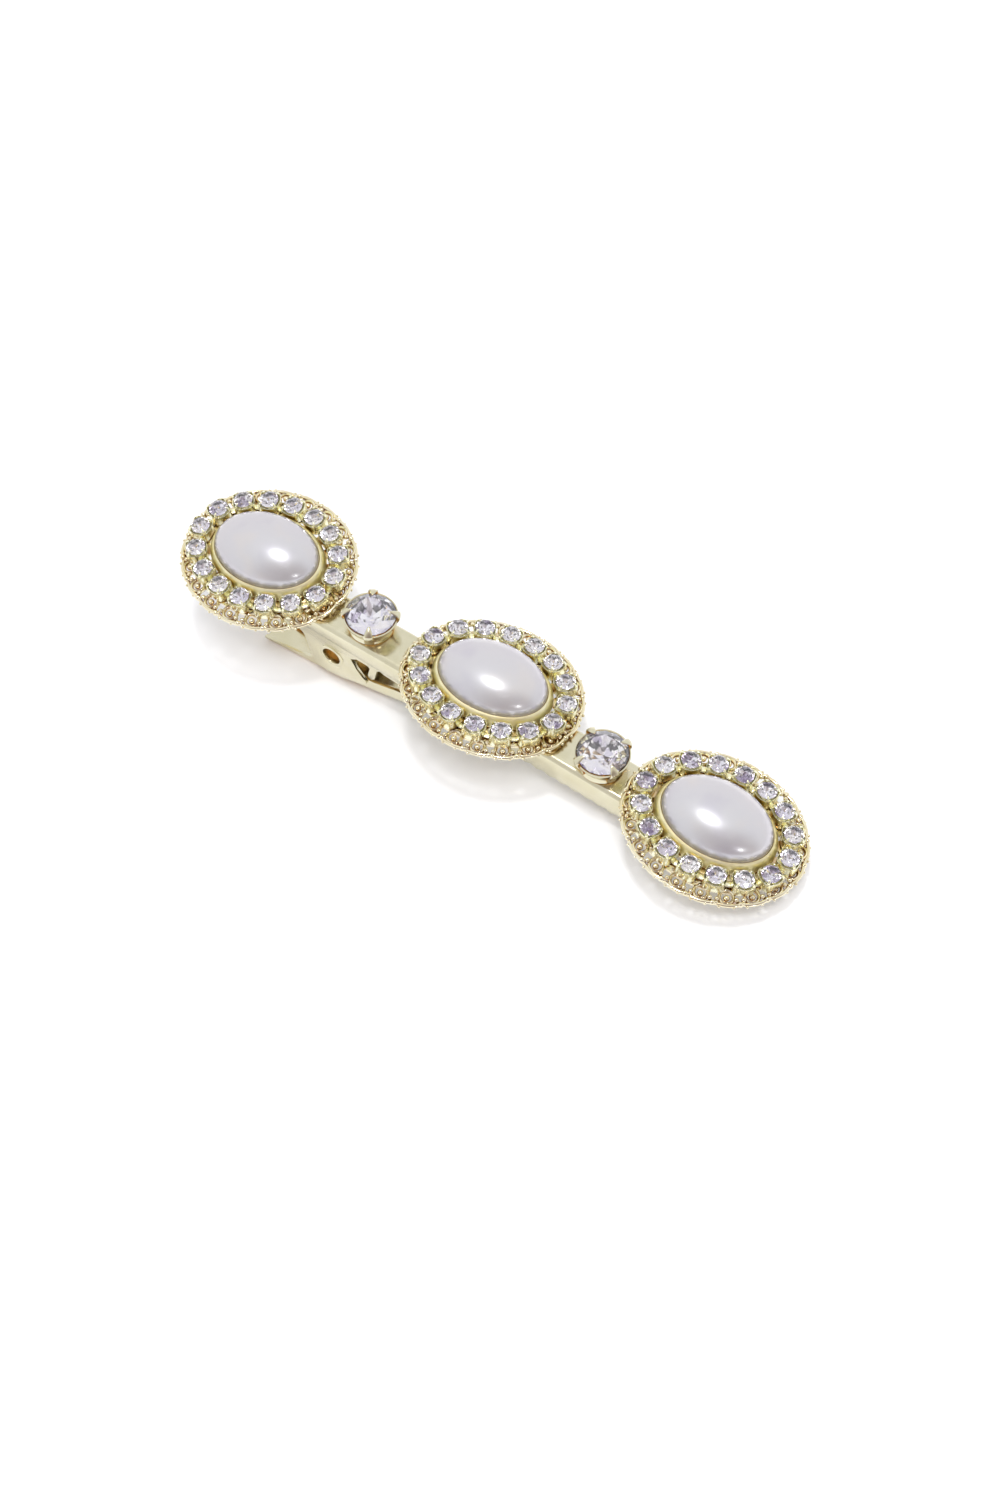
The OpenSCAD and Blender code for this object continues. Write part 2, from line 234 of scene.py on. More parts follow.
def dome_end(before, last):
    """Two shrinking rings that round off a wire's end."""
    middle = sum(last, Vector()) / len(last)
    outward = (middle - sum(before, Vector()) / len(before)).normalized()
    reach = sum((p - middle).length for p in last) / len(last)
    return [
        [middle + (p - middle) * math.cos(a) + outward * reach * math.sin(a) for p in last]
        for a in (math.radians(35), math.radians(70))
    ]


def oval_profile(bm, profile, a, b, steps=96):
    """Sweeps a profile of [distance out from the oval a x b, height] round it and closes both ends."""
    turns = [2 * math.pi * k / steps for k in range(steps)]
    loft(bm, [[on_oval(a + out, b + out, t, z) for t in turns] for out, z in profile])


def turned(bm, profile, steps=64, closed=False):
    """Turns a profile of [radius, height] about Z."""
    turns = [2 * math.pi * k / steps for k in range(steps)]
    loft(bm, [[on_oval(r, r, t, z) for t in turns] for r, z in profile], closed)


def ball(bm, centre, radius):
    """A small sphere."""
    made = bmesh.ops.create_icosphere(bm, subdivisions=2, radius=radius)
    bmesh.ops.translate(bm, verts=made["verts"], vec=centre)


def add_moved(bm, build, matrix):
    """Runs build on an empty mesh, then adds the result to bm through a matrix."""
    part = bmesh.new()
    build(part)
    part.transform(matrix)
    mesh = bpy.data.meshes.new("part")
    part.to_mesh(mesh)
    part.free()
    bm.from_mesh(mesh)
    bpy.data.meshes.remove(mesh)


def piece(name, bm, materials, body, replaced, smooth_angle, place=None):
    """Makes an object of bm, moved by place, that rides on a CAD body, if one is given, and stands
    for the replaced CAD nodes. Its edges look sharp above smooth_angle, in degrees."""
    if place is not None:
        bm.transform(place)
    bmesh.ops.recalc_face_normals(bm, faces=bm.faces)
    mesh = bpy.data.meshes.new(name)
    bm.to_mesh(mesh)
    bm.free()
    mesh.shade_smooth()
    mesh.set_sharp_from_angle(angle=math.radians(smooth_angle))
    for material in materials:
        mesh.materials.append(material)
    obj = bpy.data.objects.new(name, mesh)
    bpy.context.scene.collection.objects.link(obj)
    if body:
        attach(obj, body)
    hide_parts(*replaced)
    return obj


# ---------------------------------------------------------------- materials


def new_material(name):
    """A material, its node tree and its Principled shader."""
    material = bpy.data.materials.new(name)
    material.use_nodes = True
    tree = material.node_tree
    return material, tree, tree.nodes["Principled BSDF"]


def noise(tree, size, detail=3.0):
    """A noise texture in the object's own space whose features are about size metres across."""
    space = tree.nodes.new("ShaderNodeTexCoord")
    texture = tree.nodes.new("ShaderNodeTexNoise")
    texture.inputs["Scale"].default_value = 1 / size
    texture.inputs["Detail"].default_value = detail
    texture.inputs["Roughness"].default_value = 0.55
    tree.links.new(space.outputs["Object"], texture.inputs["Vector"])
    return texture.outputs["Fac"]


def ramp(tree, value, *stops, blend="LINEAR"):
    """Maps a value through stops of (position, colour)."""
    node = tree.nodes.new("ShaderNodeValToRGB")
    node.color_ramp.interpolation = blend
    elements = node.color_ramp.elements
    while len(elements) < len(stops):
        elements.new(0.5)
    for element, (position, colour) in zip(elements, stops):
        element.position = position
        element.color = (*colour, 1)
    tree.links.new(value, node.inputs["Fac"])
    return node.outputs["Color"]


def spread(tree, value, low, high):
    """Maps the middle of a noise's range to low..high, without a crease at either end."""
    node = tree.nodes.new("ShaderNodeMapRange")
    node.interpolation_type = "SMOOTHSTEP"
    node.inputs["From Min"].default_value = 0.3
    node.inputs["From Max"].default_value = 0.7
    node.inputs["To Min"].default_value = low
    node.inputs["To Max"].default_value = high
    tree.links.new(value, node.inputs["Value"])
    return node.outputs["Result"]


def bump(tree, shader, height, distance):
    """Waves the shader's surface by a height, up to a distance."""
    node = tree.nodes.new("ShaderNodeBump")
    node.inputs["Strength"].default_value = 1.0
    node.inputs["Distance"].default_value = distance
    tree.links.new(height, node.inputs["Height"])
    tree.links.new(node.outputs["Normal"], shader.inputs["Normal"])


def painted_shade_in_gaps(tree, tone, painted_shade, reach):
    """Paints shade into a tone: it turns into the painted shade colour in gaps narrower than about
    reach, where the surroundings block the light.
    """
    shade = tree.nodes.new("ShaderNodeAmbientOcclusion")
    shade.samples = 8
    shade.inputs["Distance"].default_value = reach
    share = tree.nodes.new("ShaderNodeMapRange")
    share.inputs["From Min"].default_value = 0.25
    share.inputs["From Max"].default_value = 0.7
    tree.links.new(shade.outputs["AO"], share.inputs["Value"])
    mix = tree.nodes.new("ShaderNodeMix")
    mix.data_type = "RGBA"
    mix.inputs["A"].default_value = (*painted_shade, 1)
    tree.links.new(share.outputs["Result"], mix.inputs["Factor"])
    tree.links.new(tone, mix.inputs["B"])
    return mix.outputs["Result"]


def plated_metal(name, bright, deep, painted_shade, reach, polish, waviness):
    """Thin gold plating: its tone drifts over a few millimetres and gets painted shade in gaps
    narrower than reach, and its polish has a fine grain."""
    material, tree, shader = new_material(name)
    shader.inputs["Metallic"].default_value = 1.0
    tone = ramp(tree, noise(tree, 4 * MM), (0.3, deep), (0.65, bright))
    tree.links.new(painted_shade_in_gaps(tree, tone, painted_shade, reach), shader.inputs["Base Color"])
    grain = spread(tree, noise(tree, 0.5 * MM, detail=5), polish, polish * 1.5)
    tree.links.new(grain, shader.inputs["Roughness"])
    bump(tree, shader, noise(tree, 1.6 * MM, detail=2), waviness)
    return material


def pearl_lacquer():
    """Pearl lacquer: a soft mirror, grey-white to lavender, below a clear coat."""
    material, tree, shader = new_material("pearl_lacquer")
    tone = ramp(
        tree, noise(tree, 5 * MM, detail=2),
        (0.3, (0.56, 0.545, 0.575)), (0.5, (0.60, 0.59, 0.60)), (0.7, (0.625, 0.60, 0.585)),
        blend="EASE",
    )
    tree.links.new(tone, shader.inputs["Base Color"])
    haze = spread(tree, noise(tree, 3 * MM, detail=1), 0.25, 0.27)
    tree.links.new(haze, shader.inputs["Roughness"])
    shader.inputs["Metallic"].default_value = 0.55
    shader.inputs["Coat Weight"].default_value = 0.7
    shader.inputs["Coat Roughness"].default_value = 0.15
    shader.inputs["Coat IOR"].default_value = 1.5
    shader.inputs["Thin Film Thickness"].default_value = 380.0
    shader.inputs["Thin Film IOR"].default_value = 1.6
    bump(tree, shader, noise(tree, 2.5 * MM, detail=1), 0.004 * MM)
    return material


def clear_glass():
    """The clear glass of the stones, with a faint haze."""
    material, tree, shader = new_material("stone_glass")
    tint = ramp(tree, noise(tree, 1.5 * MM), (0.35, (0.97, 0.965, 0.985)), (0.65, (1.0, 1.0, 1.0)))
    tree.links.new(tint, shader.inputs["Base Color"])
    haze = spread(tree, noise(tree, 0.4 * MM), 0.0, 0.03)
    tree.links.new(haze, shader.inputs["Roughness"])
    shader.inputs["Transmission Weight"].default_value = 1.0
    shader.inputs["IOR"].default_value = 1.58
    bump(tree, shader, noise(tree, 0.9 * MM, detail=1), 0.002 * MM)
    return material


def silver_foil():
    """The mirror coat behind a stone, each patch a little different in tone."""
    material, tree, shader = new_material("stone_foil")
    space = tree.nodes.new("ShaderNodeTexCoord")
    cells = tree.nodes.new("ShaderNodeTexVoronoi")
    cells.inputs["Scale"].default_value = 1 / (1.0 * MM)
    tree.links.new(space.outputs["Object"], cells.inputs["Vector"])
    single = tree.nodes.new("ShaderNodeSeparateColor")
    tree.links.new(cells.outputs["Color"], single.inputs["Color"])
    tone = ramp(
        tree, single.outputs["Red"],
        (0.0, (0.42, 0.35, 0.48)), (0.15, (0.89, 0.87, 0.93)),
        (0.6, (0.97, 0.96, 0.98)), (1.0, (0.99, 0.97, 0.95)),
    )
    tree.links.new(tone, shader.inputs["Base Color"])
    shader.inputs["Metallic"].default_value = 0.86
    haze = spread(tree, noise(tree, 0.6 * MM), 0.04, 0.12)
    tree.links.new(haze, shader.inputs["Roughness"])
    return material


# Each plated metal below paints shade into its gaps narrower than reach, in its painted shade colour.
GOLD = plated_metal(
    "light_gold_plate", bright=(0.74, 0.70, 0.52), deep=(0.67, 0.625, 0.43),
    painted_shade=(0.76, 0.52, 0.22), reach=1.6 * MM, polish=0.17, waviness=0.003 * MM,
)
# painted shade: a warmer, shaded copy of the gold for the insides of the upper arm and the pin's bore
PAINTED_SHADE_GOLD = plated_metal(
    "painted_shade_gold_inside", bright=(0.95, 0.74, 0.38), deep=(0.88, 0.62, 0.26),
    painted_shade=(0.88, 0.52, 0.16), reach=1.6 * MM, polish=0.26, waviness=0.003 * MM,
)
WIRE_GOLD = plated_metal(
    "filigree_gold", bright=(0.90, 0.84, 0.63), deep=(0.84, 0.74, 0.48),
    painted_shade=(0.44, 0.23, 0.06), reach=0.6 * MM, polish=0.12, waviness=0.003 * MM,
)
CUP_GOLD = plated_metal(
    "cup_gold_plate", bright=(0.99, 0.985, 0.74), deep=(0.98, 0.96, 0.66),
    painted_shade=(0.84, 0.68, 0.28), reach=0.5 * MM, polish=0.2, waviness=0.003 * MM,
)
OCHRE = plated_metal(
    "ochre_gold_satin", bright=(0.99, 0.93, 0.64), deep=(0.97, 0.86, 0.48),
    painted_shade=(0.95, 0.78, 0.34), reach=0.4 * MM, polish=0.36, waviness=0.005 * MM,
)
SPRING = plated_metal(
    "spring_wire_gold", bright=(0.78, 0.70, 0.48), deep=(0.68, 0.58, 0.36),
    painted_shade=(0.60, 0.38, 0.15), reach=0.8 * MM, polish=0.2, waviness=0.003 * MM,
)
SOLDER = plated_metal(
    "plated_solder", bright=(0.74, 0.64, 0.44), deep=(0.60, 0.49, 0.30),
    painted_shade=(0.40, 0.25, 0.10), reach=1.0 * MM, polish=0.32, waviness=0.020 * MM,
)
PEARL = pearl_lacquer()
GLASS = clear_glass()
FOIL = silver_foil()


# ---------------------------------------------------------------- sheet metal arms


FOLD_RADIUS = 0.75 * MM
EDGE_RADIUS = 0.05 * MM
NEARLY_FLAT = math.radians(0.4)
SHARP_EDGE = math.radians(50)


def rounded(bm, edges, radius, segments):
    """Rounds the edges off."""
    bmesh.ops.bevel(
        bm, geom=edges, offset=radius, segments=segments, profile=0.5, affect="EDGES",
        clamp_overlap=False,
    )


def sheet_arm(node, fold_up):
    """A bent sheet arm from its CAD shape, with round folds along its back and softened cut edges.
    fold_up is 1 when its back is on top and -1 when it is below."""
    bm = cad_bmesh(node)
    bmesh.ops.dissolve_limit(bm, angle_limit=NEARLY_FLAT, verts=bm.verts, edges=bm.edges)
    low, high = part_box(node)
    middle, half = (low.y + high.y) / 2, (high.y - low.y) / 2

    def is_fold(edge):
        outer = all(abs(abs(v.co.y - middle) - half) < CLOSE for v in edge.verts)
        backs = [f for f in edge.link_faces if f.normal.z * fold_up > 0.8]
        sides = [f for f in edge.link_faces if abs(f.normal.y) > 0.9]
        return outer and bool(backs) and bool(sides)

    bm.normal_update()
    rounded(bm, [e for e in bm.edges if is_fold(e)], FOLD_RADIUS, 6)
    bm.normal_update()
    joined = [e for e in bm.edges if len(e.link_faces) == 2]
    rounded(bm, [e for e in joined if e.calc_face_angle() > SHARP_EDGE], EDGE_RADIUS, 2)
    return bm


def mark_inside(bm, node):
    """Gives the second material, a gold with painted shade, to the faces inside an arm that is a
    channel open at the bottom, and to those that face down.
    """
    low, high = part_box(node)
    middle, half = (low.y + high.y) / 2, (high.y - low.y) / 2
    bm.normal_update()
    for face in bm.faces:
        inward = face.normal.y * (middle - face.calc_center_median().y) > 0.5 * half
        face.material_index = int(inward or face.normal.z < -0.8)
    return bm


upper_sheet = mark_inside(sheet_arm("upper_arm", 1), "upper_arm")
piece("upper_jaw", upper_sheet, [GOLD, PAINTED_SHADE_GOLD], UPPER, ["upper_arm"], 30)
piece("lower_jaw", sheet_arm("lower_arm", -1), [GOLD], LOWER, ["lower_arm"], 30)


# ---------------------------------------------------------------- pivot pin and spring


PIN_WALL = 0.4 * MM
LIP = 0.16 * MM  # length of the roll at each end of the pin
MOUTH = 0.6 * MM  # how far the outside's gold reaches into the bore; deeper in, the bore has painted shade


def pin_tube():
    """A tube pin whose ends are rolled over the ears; the inside of its bore is painted shade."""
    low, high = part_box("pivot_pin")
    radius, half = (high.z - low.z) / 2, (high.y - low.y) / 2
    bore = radius - PIN_WALL
    end = [(radius, half - 2 * LIP), (radius + LIP / 2, half - LIP), (radius, half - LIP / 3)]
    end += [((radius + bore) / 2, half), (bore + LIP / 4, half - LIP / 3), (bore, half - LIP)]
    end += [(bore, half - MOUTH)]
    profile = end + [(r, -z) for r, z in reversed(end)]
    bm = bmesh.new()
    turned(bm, profile, closed=True)
    # the bore past the mouth gets the gold with painted shade
    for face in bm.faces:
        spot = face.calc_center_median()
        face.material_index = int(spot.xy.length < bore + LIP / 4 and abs(spot.z) < half - MOUTH)
    place = Matrix.Translation((low + high) / 2) @ Matrix.Rotation(math.radians(90), 4, "X")
    piece("pin_tube", bm, [GOLD, PAINTED_SHADE_GOLD], UPPER, ["pivot_pin"], 40, place)


def coil_spring():
    """The torsion spring, one leg on each arm, from its CAD shape with its wire smoothed; it rides on
    neither body.
    """
    bm = cad_bmesh("torsion_spring")
    spring = piece("coil_spring", bm, [SPRING], None, ["torsion_spring"], 180)
    smooth = spring.modifiers.new("round wire", "SUBSURF")
    smooth.levels = smooth.render_levels = 2
    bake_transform(spring)


pin_tube()
coil_spring()


# ---------------------------------------------------------------- stones


STAR_SHARE = 0.42  # where the star facets end, from the table's edge to the girdle
MAINS_SHARE = 0.3  # where the pavilion's kite facets are widest, from the culet to the girdle


def add_gem(bm, centre, turn, sizes):
    """A round brilliant: an octagonal table, star, kite and girdle facets over a foiled pavilion."""
    r, table = sizes["radius"], sizes["table"]
    girdle, crown, pavilion = sizes["girdle"], sizes["crown"], sizes["pavilion"]

    def circle(radius, z, count, shift=0.0):
        turns = (turn + 2 * math.pi * (k + shift) / count for k in range(count))
        return ring(bm, [centre + on_oval(radius, radius, t, z) for t in turns])

    def facet_height(radius, inner, height):
        """How high the flat facet from the inner radius to the girdle is at a radius."""
        along = (radius * math.cos(math.pi / 8) - inner) / (r - inner)
        return height * (1 - along)

    star = table + STAR_SHARE * (r - table)
    lower = MAINS_SHARE * r
    rim = circle(r, girdle, 16)
    stars = circle(star, girdle + facet_height(star, table, crown), 8, 0.5)
    top = circle(table, girdle + crown, 8)
    foot = circle(r, 0, 16)
    mains = circle(lower, -facet_height(lower, 0, pavilion), 8, 0.5)
    culet = bm.verts.new(centre + Vector((0, 0, -pavilion)))

    def facet(*verts, material=0):
        bm.faces.new(verts).material_index = material

    facet(*top)
    for k in range(8):
        ahead = (k + 1) % 8
        facet(top[k], stars[k], top[ahead])
        facet(top[k], stars[k - 1], rim[2 * k], stars[k])
        facet(stars[k], rim[2 * k], rim[2 * k + 1])
        facet(stars[k], rim[2 * k + 1], rim[2 * ahead])
        facet(culet, mains[k - 1], foot[2 * k], mains[k], material=1)
        facet(mains[k], foot[2 * k], foot[2 * k + 1], material=1)
        facet(mains[k], foot[2 * k + 1], foot[2 * ahead], material=1)
    bridge(bm, rim, foot, material=1)


# ---------------------------------------------------------------- cup chain


CUP_FLOOR = 0.16 * MM
CUP_LIP = 0.10 * MM
CUP_SIDE, CUP_CORNER = 0.88, 1.03  # heights of its rim, as shares of the girdle's height
CUP_STEPS = 40
CUP_MARGIN = 0.125 * MM  # from a stone's girdle to the outside of its cup
PRONG_WIDTH, PRONG_DEPTH = 0.16 * MM, 0.08 * MM  # half sizes of its section
PRONG_TAPER = np.array([1.15, 1.1, 1.0, 0.9, 0.75, 0.5])
PRONG_REACH = 0.22 * MM  # from a stone's girdle to the middle of a prong
LINK_WIDTH, LINK_DEPTH = 0.13 * MM, 0.4 * MM  # half sizes of its section


def add_cup(bm, width, height, stone):
    """A stamped square cup round a stone whose girdle is at height: its sides dip between its
    corners, and a bent prong stands on each corner."""
    turns = [2 * math.pi * k / CUP_STEPS for k in range(CUP_STEPS)]

    def square(half, turn, power=4.0):
        """Distance to the edge of a square with rounded corners."""
        return half / (abs(math.cos(turn)) ** power + abs(math.sin(turn)) ** power) ** (1 / power)

    def wall(half, z_side, z_corner):
        """A square ring at one height in the middle of its sides and at another on its corners."""
        points = []
        for t in turns:
            corner = abs(math.sin(2 * t)) ** 1.3
            r, z = square(half, t), z_side + (z_corner - z_side) * corner
            points.append(Vector((r * math.cos(t), r * math.sin(t), z)))
        return points

    half = width / 2
    side_top, corner_top = CUP_SIDE * height, CUP_CORNER * height
    seat = stone["radius"] * 0.6
    rings = [
        wall(half * 0.80, 0, 0),
        wall(half * 0.90, 0.04 * MM, 0.04 * MM),
        wall(half * 0.97, 0.16 * MM, 0.16 * MM),
        wall(half, 0.36 * MM, 0.36 * MM),
        wall(half, side_top - 0.05 * MM, corner_top - 0.05 * MM),
        wall(half - CUP_LIP / 2, side_top, corner_top),
        wall(half - CUP_LIP, side_top - 0.03 * MM, corner_top - 0.05 * MM),
        wall(half - CUP_LIP * 1.2, side_top - 0.3 * MM, side_top - 0.3 * MM),
        [on_oval(seat, seat, t, CUP_FLOOR + 0.2 * MM) for t in turns],
        [on_oval(seat * 0.6, seat * 0.6, t, CUP_FLOOR) for t in turns],
    ]
    loft(bm, rings)
    girdle_top = height + stone["girdle"]
    reach = stone["radius"] + PRONG_REACH
    for quarter in range(4):
        a = math.radians(45 + 90 * quarter)
        out, across = on_oval(1, 1, a), on_oval(1, 1, a + math.pi / 2)
        line = [
            (reach - 0.02 * MM, 0.8 * height), (reach, height),
            (reach - 0.04 * MM, girdle_top + 0.04 * MM), (reach - 0.16 * MM, girdle_top + 0.18 * MM),
            (reach - 0.28 * MM, girdle_top + 0.25 * MM), (reach - 0.38 * MM, girdle_top + 0.29 * MM),
        ]
        path = [out * r + Z_AXIS * z for r, z in line]
        widths, depths = PRONG_WIDTH * PRONG_TAPER, PRONG_DEPTH * PRONG_TAPER ** 0.5
        tube(bm, path, widths, depths, across, sides=10)


def cup_row(name, place, base):
    """The chain of cups round one ornament, standing on the height base, and its small stones."""
    stones = islands(f"chain_stones_{name}", place)
    found = [gem_sizes(points) for points in stones]
    centres = [centre for centre, _ in found]
    stone = found[0][1]
    # the oval that passes nearest to the middles of the stones
    squares = np.array([[c.x ** 2, c.y ** 2] for c in centres])
    a, b = 1 / np.sqrt(np.linalg.lstsq(squares, np.ones(len(squares)), rcond=None)[0])
    height = centres[0].z - base
    width = 2 * (stone["radius"] + CUP_MARGIN)
    turns = [math.atan2(c.y / b, c.x / a) for c in centres]
    cups, gems = bmesh.new(), bmesh.new()
    for k, (centre, turn) in enumerate(zip(centres, turns)):
        seat = rim_frame(a, b, turn, base)
        add_moved(cups, lambda part: add_cup(part, width, height, stone), seat)
        # the stones sit with differences of turn, as hand-set ones do
        add_gem(gems, centre, turn + 0.7 * math.sin(2.4 * k), stone)
        ahead = centres[(k + 1) % len(centres)]
        ends = [Vector((c.x, c.y, base + 0.2 * MM)) for c in (centre, ahead)]
        link = [ends[0].lerp(ends[1], s) for s in (0.3, 0.5, 0.7)]
        tube(cups, link, LINK_WIDTH, LINK_DEPTH, Z_AXIS)
    chain, small = [f"cup_chain_{name}"], [f"chain_stones_{name}"]
    piece(f"cup_row_{name}", cups, [CUP_GOLD], UPPER, chain, 42, place)
    piece(f"small_stones_{name}", gems, [GLASS, FOIL], UPPER, small, 1, place)


# ---------------------------------------------------------------- filigree base


LACE = 0.4 * MM  # thickness of the whole lace, which lies just below its ornament
# The rim of the lace is an oval that runs through the middles of its outer loops.
LOOPS = 20
RIM_INSET = 1.3 * MM
LOOP_RADIUS = 0.84 * MM
RIM_WIRE = 0.24 * MM
RIM_WIRE_TALL = 1.7
LOOP_TILT = math.radians(-5)
BORDER_REACH = 1.05 * MM
BORDER_WIRE = 0.25 * MM
PLATE_INSET = 0.55 * MM
PLATE_HALF, PLATE_EDGE = 0.14 * MM, 0.05 * MM  # half thickness between its round edges, their radius
# A ball inside each outer loop: outward and up from the rim, radius
LOOP_BALL = (0.12 * MM, 0.02 * MM, 0.4 * MM)
# Balls where two scallops meet: along the rim, outward, up, radius
BALLS = [
    (0, 0.94 * MM, 0.12 * MM, 0.36 * MM),
    (-0.42 * MM, 0.42 * MM, 0.26 * MM, 0.3 * MM), (0.42 * MM, 0.42 * MM, 0.26 * MM, 0.3 * MM),
    (-0.8 * MM, 1.2 * MM, -0.04 * MM, 0.19 * MM), (0.8 * MM, 1.2 * MM, -0.04 * MM, 0.19 * MM),
]
# Two ovals of petals below the plate, each petal round a hole in it
INNER_PETALS = 12
INNER_INSET, OUTER_INSET = 4.6 * MM, 2.6 * MM
INNER_HOLE, OUTER_HOLE = 0.62 * MM, 0.5 * MM
INNER_PETAL, OUTER_PETAL = 0.95 * MM, 0.84 * MM
PETAL_WIRE = 0.12 * MM
PETAL_DROP = -0.17 * MM
# Twisted ropes on and below the plate: inset from the rim, height, strand radius, twists
ROPES = [(1.0 * MM, 0.02 * MM, 0.16 * MM, 40), (3.6 * MM, -0.2 * MM, 0.11 * MM, 30)]


def lace_plate(bm, a, b, holes):
    """A thin oval plate with round holes, each (centre, radius)."""
    curve = bpy.data.curves.new("lace_outline", "CURVE")
    curve.dimensions, curve.fill_mode = "2D", "BOTH"
    curve.extrude, curve.bevel_depth, curve.bevel_resolution = PLATE_HALF, PLATE_EDGE, 1

    def outline(points):
        spline = curve.splines.new("POLY")
        spline.points.add(len(points) - 1)
        spline.use_cyclic_u = True
        for target, p in zip(spline.points, points):
            target.co = (p.x, p.y, 0, 1)

    outline([on_oval(a, b, 2 * math.pi * k / 96) for k in range(96)])
    for centre, radius in holes:
        outline([centre + on_oval(radius, radius, 2 * math.pi * k / 20) for k in range(20)])
    shape = bpy.data.objects.new("lace_outline", curve)
    bpy.context.scene.collection.objects.link(shape)
    depsgraph = bpy.context.evaluated_depsgraph_get()
    plate = bpy.data.meshes.new_from_object(shape.evaluated_get(depsgraph))
    bm.from_mesh(plate)
    bpy.data.objects.remove(shape)
    bpy.data.curves.remove(curve)
    bpy.data.meshes.remove(plate)


def rope(bm, a, b, z, strand, twists, steps=432):
    """Two thin wires twisted about each other along an oval."""
    for half_turn in (0, math.pi):
        path = []
        for k in range(steps):
            t = 2 * math.pi * k / steps
            wind = twists * t + half_turn
            out = strand * math.cos(wind)
            path.append(on_oval(a + out, b + out, t, z + strand * math.sin(wind)))
        tube(bm, path, strand, strand, Z_AXIS, closed=True, sides=6)


def border_arc(a, b, turn, reach):
    """One scallop of the border wire: it starts inside the last one and ends outside the next."""
    step = 1.16 * math.pi / LOOPS
    path = []
    for k in range(15):
        s = 2 * k / 14 - 1  # -1 at its start, 1 at its end
        out = reach * (1 - 0.3 * s * s) + 0.1 * MM * s
        path.append(on_oval(a + out, b + out, turn + s * step, 0.12 * MM * s))
    return path


def wire_loop(bm, radius, wire, seat, tall=1.0):
    """A closed round loop of wire; tall makes its section deeper than wide."""
    circle = [on_oval(radius, radius, 2 * math.pi * k / 24) for k in range(24)]
    add_moved(bm, lambda part: tube(part, circle, wire * tall, wire, Z_AXIS, closed=True), seat)


def filigree(name, place):
    """The lace below an ornament: a pierced plate, loops round its rim, a scalloped border, balls."""
    node = f"filigree_base_{name}"
    _, high = local_box(node, place)
    rim_a, rim_b = high.x - RIM_INSET, high.y - RIM_INSET
    inner_a, inner_b = rim_a - INNER_INSET, rim_b - INNER_INSET
    outer_a, outer_b = rim_a - OUTER_INSET, rim_b - OUTER_INSET
    inner_turns = even_turns(inner_a, inner_b, INNER_PETALS)
    outer_turns = even_turns(outer_a, outer_b, LOOPS, 0.5)
    bm = bmesh.new()
    holes = [(on_oval(inner_a, inner_b, t), INNER_HOLE) for t in inner_turns]
    holes += [(on_oval(outer_a, outer_b, t), OUTER_HOLE) for t in outer_turns]
    lace_plate(bm, rim_a - PLATE_INSET, rim_b - PLATE_INSET, holes)
    # tall loops round a ball, a thick overlapping border, and balls where its scallops meet
    ball_out, ball_up, ball_radius = LOOP_BALL
    for t in even_turns(rim_a, rim_b, LOOPS):
        seat = rim_frame(rim_a, rim_b, t)
        tilted = seat @ Matrix.Rotation(LOOP_TILT, 4, "X")
        wire_loop(bm, LOOP_RADIUS, RIM_WIRE, tilted, RIM_WIRE_TALL)
        ball(bm, seat @ Vector((0, ball_out, ball_up)), ball_radius)
        tube(bm, border_arc(rim_a, rim_b, t, BORDER_REACH), BORDER_WIRE, BORDER_WIRE, Z_AXIS)
    for t in even_turns(rim_a, rim_b, LOOPS, 0.5):
        seat = rim_frame(rim_a, rim_b, t)
        for along, out, up, radius in BALLS:
            ball(bm, seat @ Vector((along, out, up)), radius)
    for inset, height, strand, twists in ROPES:
        rope(bm, rim_a - inset, rim_b - inset, height, strand, twists)
    for t in outer_turns:
        wire_loop(bm, OUTER_PETAL, PETAL_WIRE, rim_frame(outer_a, outer_b, t, PETAL_DROP))
    for t in inner_turns:
        wire_loop(bm, INNER_PETAL, PETAL_WIRE, rim_frame(inner_a, inner_b, t, PETAL_DROP))
    middle = place @ Matrix.Translation((0, 0, -LACE / 2))
    piece(f"filigree_{name}", bm, [WIRE_GOLD], UPPER, [node], 50, middle)


# ---------------------------------------------------------------- pearl, its tray and the solder


def bezel(name, place):
    """The oval tray: an upright wall that rounds over into a slope up to the pearl."""
    node = f"pearl_tray_{name}"
    _, high = local_box(node, place)
    height = high.z
    wall = [
        (-0.15 * MM, 0), (0.08 * MM, 0.04 * MM), (0.16 * MM, 0.25 * MM), (0.15 * MM, 0.6 * MM),
        (0.08 * MM, 0.95 * MM), (-0.04 * MM, 1.25 * MM),
    ]
    slope = [
        (-0.2 * MM, height - 0.24 * MM), (-0.36 * MM, height - 0.09 * MM),
        (-0.5 * MM, height - 0.02 * MM), (-0.56 * MM, height - 0.06 * MM), (-0.57 * MM, 0.5 * MM),
    ]
    bm = bmesh.new()
    oval_profile(bm, wall + slope, high.x, high.y)
    piece(f"bezel_{name}", bm, [OCHRE], UPPER, [node], 60, place)


def pearl_dome(name, place, rim):
    """The pearl cabochon: a straight foot in the tray up to the height rim, and a smooth oval dome."""
    node = f"pearl_{name}"
    low, high = local_box(node, place)
    a, b, foot, top = high.x, high.y, low.z, high.z
    steps, rows = 128, 28
    last_lift = math.radians(88.5)  # the cap closes the rest
    turns = [2 * math.pi * k / steps for k in range(steps)]
    levels = [(0.985, foot), (1, foot + 0.05 * MM)]
    for i in range(rows):
        lift = last_lift * i / (rows - 1)
        levels.append((math.cos(lift), rim + (top - rim) * math.sin(lift)))
    bm = bmesh.new()
    loft(bm, [[on_oval(a * share, b * share, t, z) for t in turns] for share, z in levels])
    piece(f"pearl_dome_{name}", bm, [PEARL], UPPER, [node], 60, place)


